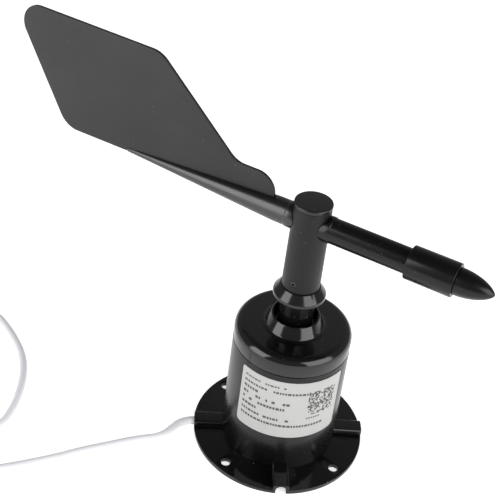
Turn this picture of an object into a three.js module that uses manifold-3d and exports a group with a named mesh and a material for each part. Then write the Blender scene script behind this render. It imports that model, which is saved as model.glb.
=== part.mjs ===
// Wind vane sensor: a weather vane on a ball-bearing shaft, above a flanged round body that
// holds the angle sensor. Millimetres, +Z up. The origin is the centre of the flange's
// underside, on the turning axis. The four cable ducts lie along +X, +Y, -X and -Y.
import * as THREE from "three";
import { mergeVertices } from "three/addons/utils/BufferGeometryUtils.js";
import Module from "manifold-3d";

const wasm = await Module();
wasm.setup();

// ---------- driving dimensions ----------
const FINE = 56; // facets round a large turned piece
const MEDIUM = 32; // facets round a medium turned piece
const SMALL = 24; // facets round a small turned piece
const TINY = 12; // facets round a screw or a pin
const FIT = 0.1; // gap between neighbouring pieces

const FLANGE_RADIUS = 40;
const FLANGE_THICKNESS = 2;
const BOLT_CIRCLE_RADIUS = 35;
const BOLT_HOLE_RADIUS = 2.15;
const DUCT_WIDTH = 7.3;
const DUCT_TOP = 5.1;
const DUCT_EDGE_RADIUS = 0.9;
const TUNNEL_RADIUS = 2.4;
const CABLE_RADIUS = 2;

const RECESS_RADIUS = 14.2; // hollow under the floor, where the cable turns into a duct
const RECESS_TOP = 17;
const DOME_RADIUS = 16;
const DOME_TOP = 19;
const COVER_THICKNESS = 1.5;

const SHELL_BOTTOM_RADIUS = 26.7;
const SHELL_TOP_RADIUS = 26.15;
const SHELL_WALL = 2.2;
const SHELL_BOTTOM = FLANGE_THICKNESS + FIT;
const SEAM = 57.8; // joint between the shell and the top cap
const BOSS_CIRCLE_RADIUS = 21.6;
const BOSS_RADIUS = 2.9;
const BOSS_TOP = 16;

const CAP_TOP = 66.9;
const CAP_SHOULDER = 4.1;
const COLLAR_BASE_RADIUS = 12.9;
const COLLAR_RIM_RADIUS = 10.65;
const COLLAR_TOP = 72.3;
const SPIGOT_RADIUS = 23.3;
const SPIGOT_BOTTOM = 53.5;
const SEAL_HEIGHT = 55.6;

const SHAFT_RADIUS = 2.5;
const BEARING_RADIUS = 8;
const BEARING_WIDTH = 5;
const LOWER_BEARING = 44; // underside of the lower bearing
const UPPER_BEARING = 58; // underside of the upper bearing
const HOUSING_RADIUS = 10;
const HOUSING_BOTTOM = 42;
const HOUSING_TOP = 64;
const BALL_RADIUS = 1.5;
const BALL_CIRCLE_RADIUS = 5.3;
const BALLS = 7;

const BOARD_RADIUS = 22;
const BOARD_BOTTOM = 28.4;
const BOARD_THICKNESS = 1.6;
const BOARD_TOP = BOARD_BOTTOM + BOARD_THICKNESS;
const STANDOFF_CIRCLE_RADIUS = 19;
const STANDOFF_AZIMUTH = 25;

const NECK_RADIUS = 7.75;
const NECK_BOTTOM = 67;
const SKIRT_RADIUS = 11.6;
const SKIRT_EDGE = 85.1;
const HUB_BOTTOM = 88.9;
const HUB_BOTTOM_RADIUS = 8.36;
const HUB_TOP = 128.8;
const HUB_TOP_RADIUS = 7.97;
const HUB_CAP_TOP = 130.6;
const HUB_CAP_RADIUS = 8.1;
const SET_SCREW_HEIGHT = 92.9;

const VANE_HEADING = -31; // where the nose points at rest, in degrees from +X
const BOOM_HEIGHT = 120.55;
const BOOM_RADIUS = 5.45;
const BOOM_SPIGOT_RADIUS = 4.2;
const SLEEVE_START = 44;
const SLEEVE_END = 63.9;
const SLEEVE_RADIUS = 7.15;
const NOSE_RADIUS = 5.75;
const NOSE_TIP = 79.3;
const TAIL_TAPER_START = -15.5;
const TAIL_END = -91;
const TAIL_END_RADIUS = 1.25;
const BLADE_THICKNESS = 1.5;

const COIL_CENTRE = [-192, 74];
const COIL_MEAN_RADIUS = 23.5;
const COIL_WIDTH = 20;
const COIL_BOTTOM = 0.8;
const COIL_TOP = 8.2;
const CORE_RADIUS = 0.45;

// ---------- materials ----------
function finish(color, roughness, metalness = 0) {
  return { color, roughness, metalness };
}
const GLOSS_BLACK = finish(0x0c0c0d, 0.18);
const SATIN_BLACK = finish(0x17171a, 0.45);
const MATT_BLACK = finish(0x2b2b2d, 0.6);
const WHITE_CABLE = finish(0xe9e8ee, 0.5);
const LABEL_WHITE = finish(0xe4e4e2, 0.4);
const RUBBER = finish(0x1a1a1a, 0.85);
const STEEL = finish(0xb4b7bb, 0.3, 1);
const BEARING_STEEL = finish(0xc4c7ca, 0.2, 1);
const BRASS = finish(0xb9974c, 0.35, 1);
const ALUMINIUM = finish(0xa9abae, 0.4, 1);
const MAGNET_GREY = finish(0x8f9194, 0.3, 1);
const BOARD_GREEN = finish(0x1d5a34, 0.5);
const CHIP_BLACK = finish(0x121212, 0.5);

// ---------- solids ----------
// The closed form of a geometry: shared vertices merged, empty triangles dropped, faces out.
function closed(geometry) {
  const bare = new THREE.BufferGeometry();
  bare.setAttribute("position", geometry.getAttribute("position").clone());
  if (geometry.index) bare.setIndex(geometry.index.clone());
  const merged = mergeVertices(bare, 1e-4);
  const index = merged.index.array;
  const kept = [];
  for (let i = 0; i < index.length; i += 3) {
    const [a, b, c] = [index[i], index[i + 1], index[i + 2]];
    if (a !== b && b !== c && c !== a) kept.push(a, b, c);
  }
  merged.setIndex(kept);
  if (signedVolume(merged) < 0) {
    for (let i = 0; i < kept.length; i += 3) [kept[i], kept[i + 1]] = [kept[i + 1], kept[i]];
    merged.setIndex(kept);
  }
  return merged;
}

function signedVolume(geometry) {
  const position = geometry.getAttribute("position");
  const index = geometry.index.array;
  const corners = [new THREE.Vector3(), new THREE.Vector3(), new THREE.Vector3()];
  let volume = 0;
  for (let i = 0; i < index.length; i += 3) {
    corners.forEach((corner, k) => corner.fromBufferAttribute(position, index[i + k]));
    volume += corners[0].dot(corners[1].cross(corners[2])) / 6;
  }
  return volume;
}

function toManifold(geometry) {
  const shape = closed(geometry);
  return new wasm.Manifold(
    new wasm.Mesh({
      numProp: 3,
      vertProperties: new Float32Array(shape.getAttribute("position").array),
      triVerts: new Uint32Array(shape.index.array),
    }),
  );
}

function fromManifold(solid) {
  const mesh = solid.getMesh();
  const geometry = new THREE.BufferGeometry();
  geometry.setAttribute("position", new THREE.BufferAttribute(new Float32Array(mesh.vertProperties), 3));
  geometry.setIndex(new THREE.BufferAttribute(new Uint32Array(mesh.triVerts), 1));
  return geometry;
}

function combine(base, others, step) {
  let solid = toManifold(base);
  for (const other of others) solid = step(solid, toManifold(other));
  return fromManifold(solid);
}

function join(base, ...others) {
  return combine(base, others, (a, b) => a.add(b));
}

function cut(base, ...tools) {
  return combine(base, tools, (a, b) => a.subtract(b));
}

function common(base, ...others) {
  return combine(base, others, (a, b) => a.intersect(b));
}

// A solid turned about Z from a profile of [radius, z] points. A profile that doesn't start and
// end on the axis closes on itself.
function turned(profile, facets = FINE) {
  const points = profile.map(([radius, z]) => new THREE.Vector2(radius, z));
  const onAxis = profile[0][0] === 0 && profile[profile.length - 1][0] === 0;
  if (!onAxis) points.push(points[0].clone());
  return closed(new THREE.LatheGeometry(points, facets).rotateX(Math.PI / 2));
}

// The same, turned about X: profile points are [x, radius].
function turnedAlongX(profile, facets = SMALL) {
  return turned(profile.map(([x, radius]) => [radius, x]), facets).rotateY(Math.PI / 2);
}

function cylinder(radius, bottom, top, facets = SMALL) {
  const shape = new THREE.CylinderGeometry(radius, radius, top - bottom, facets);
  return shape.rotateX(Math.PI / 2).translate(0, 0, (bottom + top) / 2);
}

function block(sizeX, sizeY, bottom, top) {
  return new THREE.BoxGeometry(sizeX, sizeY, top - bottom).translate(0, 0, (bottom + top) / 2);
}

function tube(innerRadius, outerRadius, bottom, top, facets = SMALL) {
  return turned(
    [
      [innerRadius, bottom],
      [outerRadius, bottom],
      [outerRadius, top],
      [innerRadius, top],
    ],
    facets,
  );
}

// Points of a circular arc in a profile, from one angle to another in degrees.
function arc(centreU, centreV, radius, from, to, steps) {
  const points = [];
  for (let i = 0; i <= steps; i += 1) {
    const angle = THREE.MathUtils.degToRad(from + ((to - from) * i) / steps);
    points.push([centreU + radius * Math.cos(angle), centreV + radius * Math.sin(angle)]);
  }
  return points;
}

// An outline from its corners [x, y, corner radius], with each corner rounded by an arc.
function rounded(corners) {
  const shape = new THREE.Shape();
  const count = corners.length;
  corners.forEach(([x, y, radius], i) => {
    const corner = new THREE.Vector2(x, y);
    const before = new THREE.Vector2(...corners[(i + count - 1) % count]).sub(corner).normalize();
    const after = new THREE.Vector2(...corners[(i + 1) % count]).sub(corner).normalize();
    const half = Math.acos(THREE.MathUtils.clamp(before.dot(after), -1, 1)) / 2;
    const reach = radius / Math.tan(half);
    const start = corner.clone().addScaledVector(before, reach);
    const end = corner.clone().addScaledVector(after, reach);
    if (i === 0) shape.moveTo(start.x, start.y);
    else shape.lineTo(start.x, start.y);
    if (radius === 0) return;
    const centre = before.clone().add(after).normalize();
    centre.multiplyScalar(radius / Math.sin(half)).add(corner);
    const from = Math.atan2(start.y - centre.y, start.x - centre.x);
    const to = Math.atan2(end.y - centre.y, end.x - centre.x);
    const clockwise = before.clone().cross(after) > 0;
    shape.absarc(centre.x, centre.y, radius, from, to, clockwise);
  });
  return shape;
}

function extruded(shape, depth, curveSegments = 8) {
  return new THREE.ExtrudeGeometry(shape, { depth, bevelEnabled: false, curveSegments });
}

// A round bar along a smooth curve through the given [x, y, z] points.
function bar(points, radius, sides, steps) {
  const path = new THREE.CatmullRomCurve3(points.map((point) => new THREE.Vector3(...point)));
  const section = new THREE.Shape();
  for (let i = 0; i < sides; i += 1) {
    const angle = (2 * Math.PI * i) / sides;
    const [u, v] = [radius * Math.cos(angle), radius * Math.sin(angle)];
    if (i === 0) section.moveTo(u, v);
    else section.lineTo(u, v);
  }
  return new THREE.ExtrudeGeometry(section, { steps, bevelEnabled: false, extrudePath: path });
}

function aroundZ(geometry, degrees) {
  return geometry.clone().rotateZ(THREE.MathUtils.degToRad(degrees));
}

function atPolar(geometry, radius, degrees) {
  return aroundZ(geometry.clone().translate(radius, 0, 0), degrees);
}

const object = new THREE.Group();
const vane = new THREE.Group();
vane.rotation.z = THREE.MathUtils.degToRad(VANE_HEADING);
object.add(vane);

function add(group, name, geometry, look) {
  const mesh = new THREE.Mesh(closed(geometry), new THREE.MeshStandardMaterial(look));
  mesh.name = name;
  group.add(mesh);
  return mesh;
}

// ---------- base ----------
function ductOutline(width, top, edgeRadius, bottom) {
  return rounded([
    [-width / 2, bottom, 0],
    [width / 2, bottom, 0],
    [width / 2, top, edgeRadius],
    [-width / 2, top, edgeRadius],
  ]);
}

// A bar with the outline (across, up), lying along +X from one radius to another.
function radialBar(outline, from, to, curveSegments = 4) {
  const shape = extruded(outline, to - from, curveSegments);
  return shape.rotateZ(Math.PI / 2).rotateY(Math.PI / 2).translate(from, 0, 0);
}

function tunnelOutline() {
  const shape = new THREE.Shape();
  shape.moveTo(-TUNNEL_RADIUS, -1);
  shape.lineTo(TUNNEL_RADIUS, -1);
  shape.lineTo(TUNNEL_RADIUS, CABLE_RADIUS);
  shape.absarc(0, CABLE_RADIUS, TUNNEL_RADIUS, 0, Math.PI, false);
  return shape;
}

function flangeDisc() {
  const edge = 0.35;
  return turned([
    [0, 0],
    [FLANGE_RADIUS - edge, 0],
    [FLANGE_RADIUS, edge],
    [FLANGE_RADIUS, FLANGE_THICKNESS - edge],
    [FLANGE_RADIUS - edge, FLANGE_THICKNESS],
    [DOME_RADIUS, FLANGE_THICKNESS],
    [DOME_RADIUS, DOME_TOP - 1],
    [DOME_RADIUS - 1, DOME_TOP],
    [0, DOME_TOP],
  ]);
}

const GLAND_HOLE_RADIUS = 4.1;
const COVER_SCREW_CIRCLE_RADIUS = 11.4;
const COVER_SCREW_AZIMUTHS = [45, 225];

function countersink(headRadius, shankRadius, depth, length) {
  return turned(
    [
      [0, -1],
      [headRadius, -1],
      [headRadius, 0.3],
      [shankRadius, depth],
      [shankRadius, length],
      [0, length],
    ],
    TINY,
  );
}

function baseFlange() {
  const duct = radialBar(ductOutline(DUCT_WIDTH, DUCT_TOP, DUCT_EDGE_RADIUS, 0.5), 15, FLANGE_RADIUS + 1);
  const ducts = [0, 90, 180, 270].map((azimuth) => aroundZ(duct, azimuth));
  const trimmed = common(join(...ducts), cylinder(FLANGE_RADIUS, -1, DUCT_TOP + 1, FINE));
  const recess = cylinder(RECESS_RADIUS, -1, RECESS_TOP, MEDIUM);
  const posts = COVER_SCREW_AZIMUTHS.map((azimuth) =>
    atPolar(cylinder(2.6, COVER_THICKNESS + FIT, RECESS_TOP + 1, TINY), COVER_SCREW_CIRCLE_RADIUS, azimuth),
  );
  const postHoles = COVER_SCREW_AZIMUTHS.map((azimuth) =>
    atPolar(cylinder(1.3, 1, 10, TINY), COVER_SCREW_CIRCLE_RADIUS, azimuth),
  );
  const tunnel = radialBar(tunnelOutline(), RECESS_RADIUS - 2, FLANGE_RADIUS + 2, 8);
  const tunnels = [0, 90, 180, 270].map((azimuth) => aroundZ(tunnel, azimuth));
  const boltHoles = [45, 135, 225, 315].map((azimuth) =>
    atPolar(cylinder(BOLT_HOLE_RADIUS, -1, FLANGE_THICKNESS + 1, SMALL), BOLT_CIRCLE_RADIUS, azimuth),
  );
  const screwHoles = [45, 135, 225, 315].map((azimuth) =>
    atPolar(countersink(2.95, 1.65, 1.75, FLANGE_THICKNESS + 1), BOSS_CIRCLE_RADIUS, azimuth),
  );
  const glandHole = cylinder(GLAND_HOLE_RADIUS, RECESS_TOP - 1, DOME_TOP + 1, SMALL);
  const hollow = cut(join(flangeDisc(), trimmed), recess);
  return cut(join(hollow, ...posts), ...tunnels, ...boltHoles, ...screwHoles, ...postHoles, glandHole);
}

function bottomCover() {
  const notch = block(RECESS_RADIUS, 2 * TUNNEL_RADIUS, -1, COVER_THICKNESS + 1);
  const notches = [0, 90, 180, 270].map((azimuth) => atPolar(notch, 8 + RECESS_RADIUS / 2, azimuth));
  const holes = COVER_SCREW_AZIMUTHS.map((azimuth) =>
    atPolar(countersink(2.4, 1.35, 1.4, COVER_THICKNESS + 1), COVER_SCREW_CIRCLE_RADIUS, azimuth),
  );
  return cut(cylinder(RECESS_RADIUS - FIT, 0, COVER_THICKNESS, MEDIUM), ...notches, ...holes);
}

function countersunkScrew(headRadius, shankRadius, headHeight, length) {
  const body = turned(
    [
      [0, 0],
      [headRadius, 0],
      [headRadius, 0.25],
      [shankRadius, headHeight],
      [shankRadius, length],
      [0, length],
    ],
    TINY,
  );
  const slot = headRadius * 1.3;
  return cut(body, block(slot, 0.6, -1, 0.6), block(0.6, slot, -1, 0.6)).translate(0, 0, 0.1);
}

function shellRadius(z) {
  const share = (z - SHELL_BOTTOM) / (SEAM - SHELL_BOTTOM);
  return SHELL_BOTTOM_RADIUS + share * (SHELL_TOP_RADIUS - SHELL_BOTTOM_RADIUS);
}

function bodyShell() {
  const top = SEAM - FIT;
  const wall = turned([
    [SHELL_BOTTOM_RADIUS - SHELL_WALL, SHELL_BOTTOM],
    [SHELL_BOTTOM_RADIUS, SHELL_BOTTOM],
    [SHELL_TOP_RADIUS, top - 0.15],
    [SHELL_TOP_RADIUS - 0.15, top],
    [SHELL_TOP_RADIUS - SHELL_WALL, top],
  ]);
  const boss = cylinder(BOSS_RADIUS, SHELL_BOTTOM, BOSS_TOP, TINY);
  const pilot = cylinder(1.6, 1, BOSS_TOP - 3, TINY);
  const azimuths = [45, 135, 225, 315];
  const bosses = azimuths.map((azimuth) => atPolar(boss, BOSS_CIRCLE_RADIUS, azimuth));
  const pilots = azimuths.map((azimuth) => atPolar(pilot, BOSS_CIRCLE_RADIUS, azimuth));
  const outline = ductOutline(DUCT_WIDTH + 0.4, DUCT_TOP + 0.2, DUCT_EDGE_RADIUS + 0.2, 0);
  const notch = radialBar(outline, 20, 30);
  const notches = [0, 90, 180, 270].map((azimuth) => aroundZ(notch, azimuth));
  return cut(join(wall, ...bosses), ...pilots, ...notches);
}

// The label: a thin sheet bent round the front of the drafted shell, at -Y.
const LABEL_BOTTOM = 22.1;
const LABEL_TOP = 54.7;
const LABEL_SPAN = 107.6;
const LABEL_THICKNESS = 0.2;

function label() {
  const height = LABEL_TOP - LABEL_BOTTOM;
  const sheet = new THREE.BoxGeometry(LABEL_SPAN, height, LABEL_THICKNESS, 28, 1, 1);
  const position = sheet.getAttribute("position");
  for (let i = 0; i < position.count; i += 1) {
    const angle = THREE.MathUtils.degToRad(position.getX(i) - 90);
    const z = (LABEL_BOTTOM + LABEL_TOP) / 2 + position.getY(i);
    const radius = shellRadius(z) + 0.05 + LABEL_THICKNESS / 2 + position.getZ(i);
    position.setXYZ(i, radius * Math.cos(angle), radius * Math.sin(angle), z);
  }
  return sheet;
}

function topCap() {
  const side = SHELL_TOP_RADIUS - 0.05;
  const under = CAP_TOP - 2.3;
  return turned([
    [SPIGOT_RADIUS, SEAM],
    [side - 0.15, SEAM],
    [side, SEAM + 0.15],
    ...arc(side - CAP_SHOULDER, CAP_TOP - CAP_SHOULDER, CAP_SHOULDER, 0, 90, 6),
    [COLLAR_BASE_RADIUS + 1.3, CAP_TOP],
    [COLLAR_BASE_RADIUS + 0.4, CAP_TOP + 0.3],
    [COLLAR_BASE_RADIUS, CAP_TOP + 1],
    [COLLAR_RIM_RADIUS + 0.25, COLLAR_TOP - 0.5],
    [COLLAR_RIM_RADIUS, COLLAR_TOP - 0.1],
    [COLLAR_RIM_RADIUS - 0.3, COLLAR_TOP],
    [COLLAR_RIM_RADIUS - 0.7, COLLAR_TOP - 0.2],
    [9.4, COLLAR_TOP - 3.6],
    [8.6, COLLAR_TOP - 4.2],
    [8.6, HOUSING_TOP + FIT],
    [HOUSING_RADIUS + FIT, HOUSING_TOP + FIT],
    [HOUSING_RADIUS + FIT, 52],
    [HOUSING_RADIUS + 2.2, 52],
    [HOUSING_RADIUS + 2.2, under - 0.8],
    [HOUSING_RADIUS + 3, under],
    [SPIGOT_RADIUS - 3, under],
    [SPIGOT_RADIUS - 2, under - 1],
    [SPIGOT_RADIUS - 2, SPIGOT_BOTTOM],
    [SPIGOT_RADIUS, SPIGOT_BOTTOM],
    [SPIGOT_RADIUS, SEAL_HEIGHT - 0.9],
    [SPIGOT_RADIUS - 1.3, SEAL_HEIGHT - 0.9],
    [SPIGOT_RADIUS - 1.3, SEAL_HEIGHT + 0.9],
    [SPIGOT_RADIUS, SEAL_HEIGHT + 0.9],
  ]);
}

function ring(meanRadius, sectionRadius, height, facets) {
  return turned(arc(meanRadius, height, sectionRadius, 0, 300, 5), facets);
}

// ---------- bearings ----------
function bearingHousing() {
  const seat = BEARING_RADIUS + 0.05;
  const shoulder = 7.2;
  const lowerSeatTop = LOWER_BEARING + BEARING_WIDTH + 0.05;
  return turned(
    [
      [seat, HOUSING_BOTTOM],
      [HOUSING_RADIUS, HOUSING_BOTTOM],
      [HOUSING_RADIUS, HOUSING_TOP],
      [seat, HOUSING_TOP],
      [seat, UPPER_BEARING - 0.05],
      [shoulder, UPPER_BEARING - 0.05],
      [shoulder, lowerSeatTop],
      [seat, lowerSeatTop],
      [seat, LOWER_BEARING - 0.05],
      [seat + 0.65, LOWER_BEARING - 0.05],
      [seat + 0.65, LOWER_BEARING - 1.05],
      [seat, LOWER_BEARING - 1.05],
    ],
    MEDIUM,
  );
}

function raceArc(sign) {
  const groove = BALL_RADIUS + 0.15;
  const offset = sign * 0.05;
  const from = sign > 0 ? -50 : 130;
  return arc(BALL_CIRCLE_RADIUS + offset, BEARING_WIDTH / 2, groove, from, from + 100, 3);
}

function outerRing() {
  const shoulder = 6.3;
  const width = BEARING_WIDTH;
  const race = raceArc(1);
  const face = [[shoulder, 0], [BEARING_RADIUS, 0], [BEARING_RADIUS, width], [shoulder, width]];
  return turned([...face, ...race.reverse()], MEDIUM);
}

function innerRing() {
  const shoulder = 4.3;
  const bore = SHAFT_RADIUS + 0.05;
  const race = raceArc(-1);
  const face = [[bore, BEARING_WIDTH], [bore, 0], [shoulder, 0]];
  return turned([...face, ...race.reverse(), [shoulder, BEARING_WIDTH]], SMALL);
}

function ballCage() {
  const middle = BEARING_WIDTH / 2;
  const strip = tube(BALL_CIRCLE_RADIUS - 0.5, BALL_CIRCLE_RADIUS + 0.5, middle - 0.4, middle + 0.4, 28);
  const ball = new THREE.SphereGeometry(BALL_RADIUS, 8, 6).rotateX(Math.PI / 2).translate(0, 0, middle);
  const balls = [];
  for (let i = 0; i < BALLS; i += 1) balls.push(atPolar(ball, BALL_CIRCLE_RADIUS, (360 * i) / BALLS));
  return join(strip, ...balls);
}

function splitRing(innerRadius, outerRadius, bottom, top, gap) {
  const slot = block(outerRadius * 2, gap, bottom - 1, top + 1).translate(outerRadius, 0, 0);
  return cut(tube(innerRadius, outerRadius, bottom, top), slot);
}

// ---------- electronics ----------
function sensorBoard() {
  const holes = [0, 90, 180, 270].map((turn) =>
    atPolar(
      cylinder(1.4, BOARD_BOTTOM - 1, BOARD_TOP + 1, TINY),
      STANDOFF_CIRCLE_RADIUS,
      STANDOFF_AZIMUTH + turn,
    ),
  );
  return cut(cylinder(BOARD_RADIUS, BOARD_BOTTOM, BOARD_TOP, MEDIUM), ...holes);
}

function standoff() {
  const body = cylinder(2.4, FLANGE_THICKNESS + 0.02, BOARD_BOTTOM - 0.02, 6);
  return cut(body, cylinder(1.3, BOARD_BOTTOM - 7, BOARD_BOTTOM + 1, TINY));
}

function boardScrew() {
  const head = BOARD_TOP + 0.05;
  return turned(
    [
      [0, BOARD_BOTTOM - 5],
      [1.2, BOARD_BOTTOM - 5],
      [1.2, head],
      [2.3, head],
      [2.3, head + 1],
      [1.6, head + 1.6],
      [0, head + 1.6],
    ],
    TINY,
  );
}

// The gland holds the cable in the floor: a flanged nut below, a body through, a ring nut above.
function cableGland() {
  const bore = CABLE_RADIUS + 0.15;
  return turned(
    [
      [bore, RECESS_TOP - 2],
      [4.6, RECESS_TOP - 2],
      [5.2, RECESS_TOP - 1.5],
      [5.2, RECESS_TOP - FIT],
      [GLAND_HOLE_RADIUS - FIT, RECESS_TOP - FIT],
      [GLAND_HOLE_RADIUS - FIT, DOME_TOP + 2.4],
      [bore, DOME_TOP + 2.4],
    ],
    SMALL,
  );
}

function glandNut() {
  const nut = cylinder(6.2, DOME_TOP + FIT, DOME_TOP + 2, 6);
  return cut(nut, cylinder(GLAND_HOLE_RADIUS, DOME_TOP - 1, DOME_TOP + 3, SMALL));
}

function addBase() {
  add(object, "base_flange", baseFlange(), GLOSS_BLACK);
  add(object, "bottom_cover", bottomCover(), SATIN_BLACK);
  COVER_SCREW_AZIMUTHS.forEach((azimuth, i) => {
    const screw = atPolar(countersunkScrew(2.2, 1.2, 1.3, 8), COVER_SCREW_CIRCLE_RADIUS, azimuth);
    add(object, `cover_screw_${i + 1}`, screw, STEEL);
  });
  [45, 135, 225, 315].forEach((azimuth, i) => {
    const screw = atPolar(countersunkScrew(2.8, 1.5, 1.65, 11), BOSS_CIRCLE_RADIUS, azimuth);
    add(object, `base_screw_${i + 1}`, screw, STEEL);
  });
  add(object, "body_shell", bodyShell(), SATIN_BLACK);
  add(object, "label", label(), LABEL_WHITE);
  add(object, "top_cap", topCap(), GLOSS_BLACK);
  add(object, "cap_seal", ring(22.82, 0.7, SEAL_HEIGHT, MEDIUM), RUBBER);
  add(object, "cable_gland", cableGland(), RUBBER);
  add(object, "gland_nut", glandNut(), SATIN_BLACK);
}

function addElectronics() {
  add(object, "sensor_board", sensorBoard(), BOARD_GREEN);
  [0, 90, 180, 270].forEach((turn, i) => {
    const azimuth = STANDOFF_AZIMUTH + turn;
    add(object, `standoff_${i + 1}`, atPolar(standoff(), STANDOFF_CIRCLE_RADIUS, azimuth), BRASS);
    add(object, `board_screw_${i + 1}`, atPolar(boardScrew(), STANDOFF_CIRCLE_RADIUS, azimuth), STEEL);
  });
  add(object, "angle_sensor_chip", block(5, 4, BOARD_TOP + 0.05, BOARD_TOP + 1.4), CHIP_BLACK);
  const capacitor = cylinder(3, BOARD_TOP + 0.05, BOARD_TOP + 7, SMALL).translate(12, 6, 0);
  add(object, "filter_capacitor", capacitor, ALUMINIUM);
  const regulator = block(6.5, 6, BOARD_TOP + 0.05, BOARD_TOP + 2.3).translate(10, -9, 0);
  add(object, "voltage_regulator", regulator, CHIP_BLACK);
  add(object, "board_socket", block(11, 6, BOARD_BOTTOM - 4, BOARD_BOTTOM - 0.05), LABEL_WHITE);
  const leadBottom = DOME_TOP + 2.5;
  add(object, "inner_lead", cylinder(CABLE_RADIUS - 0.2, leadBottom, BOARD_BOTTOM - 4.1, TINY), WHITE_CABLE);
}

function addBearings() {
  add(object, "bearing_housing", bearingHousing(), ALUMINIUM);
  add(object, "lower_bearing_outer_ring", outerRing().translate(0, 0, LOWER_BEARING), BEARING_STEEL);
  add(object, "upper_bearing_outer_ring", outerRing().translate(0, 0, UPPER_BEARING), BEARING_STEEL);
  const clip = splitRing(7, 8.6, LOWER_BEARING - 0.95, LOWER_BEARING - 0.15, 3);
  add(object, "housing_clip", clip, STEEL);
  add(object, "lower_ball_cage", ballCage().translate(0, 0, LOWER_BEARING), BEARING_STEEL);
  add(object, "upper_ball_cage", ballCage().translate(0, 0, UPPER_BEARING), BEARING_STEEL);
}

// ---------- turning parts, with the nose along +X of their group ----------
const SHAFT_BOTTOM = 37.7;
const SHAFT_TOP = 112;
const SHAFT_GROOVE = 43.2;

function shaft() {
  return turned(
    [
      [0, SHAFT_BOTTOM],
      [SHAFT_RADIUS, SHAFT_BOTTOM],
      [SHAFT_RADIUS, SHAFT_GROOVE - 0.35],
      [SHAFT_RADIUS - 0.4, SHAFT_GROOVE - 0.35],
      [SHAFT_RADIUS - 0.4, SHAFT_GROOVE + 0.35],
      [SHAFT_RADIUS, SHAFT_GROOVE + 0.35],
      [SHAFT_RADIUS, SHAFT_TOP - 0.5],
      [SHAFT_RADIUS - 0.5, SHAFT_TOP],
      [0, SHAFT_TOP],
    ],
    SMALL,
  );
}

function magnetHolder() {
  return turned([
    [4.1, 33.4],
    [5.6, 33.4],
    [5.6, 40],
    [5, 40.6],
    [SHAFT_RADIUS + 0.05, 40.6],
    [SHAFT_RADIUS + 0.05, SHAFT_BOTTOM - FIT],
    [0, SHAFT_BOTTOM - FIT],
    [0, 36.4],
    [4.1, 36.4],
  ].reverse(), SMALL);
}

function neckAndSkirt() {
  const bore = SHAFT_RADIUS + 0.05;
  return turned(
    [
      [bore, NECK_BOTTOM],
      [NECK_RADIUS - 0.4, NECK_BOTTOM],
      [NECK_RADIUS, NECK_BOTTOM + 0.4],
      [NECK_RADIUS, SKIRT_EDGE - 4.3],
      [NECK_RADIUS + 0.3, SKIRT_EDGE - 3.5],
      [NECK_RADIUS + 1.1, SKIRT_EDGE - 3],
      [SKIRT_RADIUS - 0.6, SKIRT_EDGE - 2.4],
      [SKIRT_RADIUS - 0.1, SKIRT_EDGE - 1.9],
      [SKIRT_RADIUS, SKIRT_EDGE - 0.6],
      [SKIRT_RADIUS - 0.2, SKIRT_EDGE],
      [HUB_BOTTOM_RADIUS + 0.35, HUB_BOTTOM - 0.35],
      [HUB_BOTTOM_RADIUS - 0.3, HUB_BOTTOM - FIT],
      [bore, HUB_BOTTOM - FIT],
    ],
    MEDIUM,
  );
}

function hub() {
  const edge = 0.25;
  const body = turned(
    [
      [0, HUB_BOTTOM],
      [HUB_BOTTOM_RADIUS - 0.2, HUB_BOTTOM],
      [HUB_BOTTOM_RADIUS, HUB_BOTTOM + 0.2],
      [HUB_TOP_RADIUS, HUB_TOP - edge],
      [HUB_TOP_RADIUS - edge, HUB_TOP],
      [0, HUB_TOP],
    ],
    MEDIUM,
  );
  const shaftBore = cylinder(SHAFT_RADIUS + 0.05, HUB_BOTTOM - 1, SHAFT_TOP + 0.3, SMALL);
  const boomBore = cylinder(BOOM_SPIGOT_RADIUS + FIT, -12, 12).rotateY(Math.PI / 2);
  const plugBore = cylinder(5, HUB_TOP - 1.7, HUB_TOP + 1, SMALL);
  const screwBore = cylinder(1.35, 0, 12, TINY).rotateX(Math.PI / 2).translate(0, 0, SET_SCREW_HEIGHT);
  return cut(body, shaftBore, boomBore.translate(0, 0, BOOM_HEIGHT), screwBore, plugBore);
}

// A plug closes the top of the hub; it stands a little proud of the hub's side.
function hubCap() {
  const edge = 0.6;
  return turned(
    [
      [0, HUB_TOP - 1.5],
      [4.9, HUB_TOP - 1.5],
      [4.9, HUB_TOP + 0.15],
      [HUB_CAP_RADIUS, HUB_TOP + 0.15],
      [HUB_CAP_RADIUS, HUB_CAP_TOP - edge],
      [HUB_CAP_RADIUS - 0.2, HUB_CAP_TOP - 0.2],
      [HUB_CAP_RADIUS - edge, HUB_CAP_TOP],
      [0, HUB_CAP_TOP],
    ],
    MEDIUM,
  );
}

function setScrew() {
  const outer = 8.15;
  const body = cylinder(1.25, SHAFT_RADIUS + FIT, outer, TINY);
  const socket = cylinder(0.65, outer - 1.2, outer + 1, 6);
  return cut(body, socket).rotateX(Math.PI / 2).translate(0, 0, SET_SCREW_HEIGHT);
}

// Removes what lies inside the hub's outline from a boom, and leaves its spigot.
function seatedOnHub(boom, spigotFrom, spigotTo) {
  const clear = cylinder(HUB_TOP_RADIUS + 0.3, -20, 20, MEDIUM);
  const spigot = cylinder(BOOM_SPIGOT_RADIUS, spigotFrom, spigotTo).rotateY(Math.PI / 2);
  return join(cut(boom, clear), spigot);
}

function frontBoom() {
  const rod = turnedAlongX([
    [0, 0],
    [0, BOOM_RADIUS + 0.3],
    [9.9, BOOM_RADIUS + 0.3],
    [10.3, BOOM_RADIUS],
    [56, BOOM_RADIUS],
    [56, 0],
  ]);
  return seatedOnHub(rod, 0.3, 14).translate(0, 0, BOOM_HEIGHT);
}

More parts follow.
